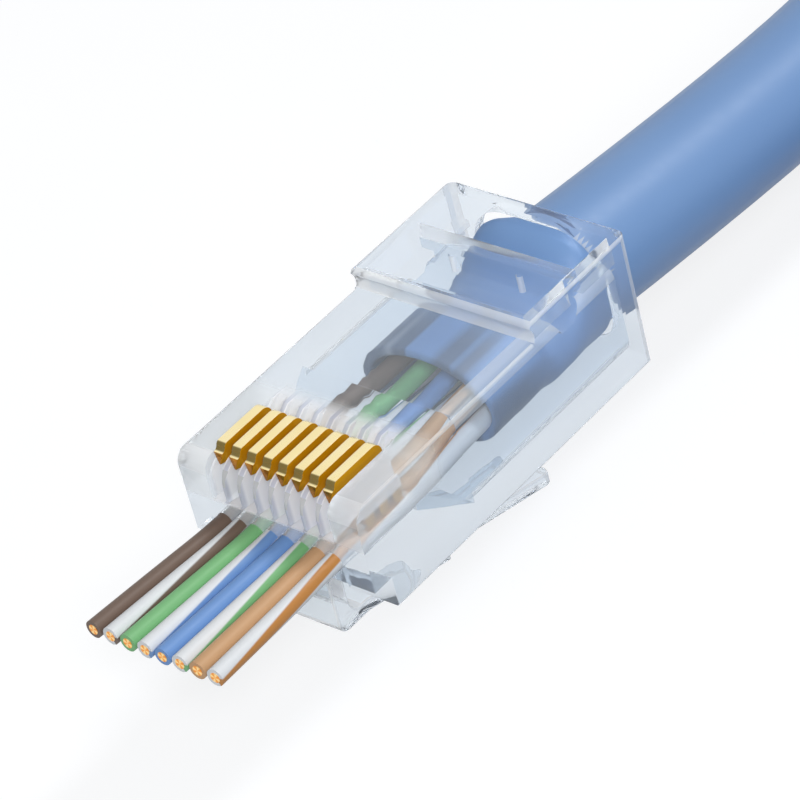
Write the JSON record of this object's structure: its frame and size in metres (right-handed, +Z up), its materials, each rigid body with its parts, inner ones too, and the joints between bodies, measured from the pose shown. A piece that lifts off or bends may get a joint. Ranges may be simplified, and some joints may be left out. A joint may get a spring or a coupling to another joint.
{
  "type": "modular network plug",
  "caption": "Clear modular plug with gold contacts and a spring latch on a round blue cable; the coloured wires pass through the nose, ready to crimp.",
  "frame": {"origin": "centre of the plug's and its wires' footprint, at the level of the latch tail's lowest point", "axes": "+Y from the nose towards the cable, +X across the contacts, +Z up from the latch side to the contact side"},
  "size_m": [0.0961, 0.1225, 0.014],
  "materials": {
    "clear_plastic": "clear polished",
    "gold_contact": "gold flash, polished",
    "copper": "bare drawn copper",
    "jacket": "satin extruded",
    "tie": "matt",
    "wire_brown": "satin extruded",
    "wire_white_brown": "satin extruded, with a coloured stripe",
    "wire_green": "satin extruded",
    "wire_white_blue": "satin extruded, with a coloured stripe",
    "wire_blue": "satin extruded",
    "wire_white_green": "satin extruded, with a coloured stripe",
    "wire_orange": "satin extruded",
    "wire_white_orange": "satin extruded, with a coloured stripe"
  },
  "bodies": {
    "plug": {"housing": "clear_plastic", "contact_1": "gold_contact", "contact_2": "gold_contact", "contact_3": "gold_contact", "contact_4": "gold_contact", "contact_5": "gold_contact", "contact_6": "gold_contact", "contact_7": "gold_contact", "contact_8": "gold_contact", "insulation_brown": "wire_brown", "conductor_brown": "copper", "insulation_white_brown": "wire_white_brown", "conductor_white_brown": "copper", "insulation_green": "wire_green", "conductor_green": "copper", "insulation_white_blue": "wire_white_blue", "conductor_white_blue": "copper", "insulation_blue": "wire_blue", "conductor_blue": "copper", "insulation_white_green": "wire_white_green", "conductor_white_green": "copper", "insulation_orange": "wire_orange", "conductor_orange": "copper", "insulation_white_orange": "wire_white_orange", "conductor_white_orange": "copper", "cable_jacket": "jacket", "cable_run": "jacket", "cable_coil": "jacket", "coil_tie": "tie"},
    "latch": {"latch": "clear_plastic"}
  },
  "joints": [
    {"name": "latch_flex", "type": "hinge", "parent": "plug", "child": "latch", "pos_m": [0, -0.00593, 0.00786], "axis": [1, 0, 0], "range_deg": [0, 15], "stiffness_Nm_per_rad": 0.15}
  ]
}
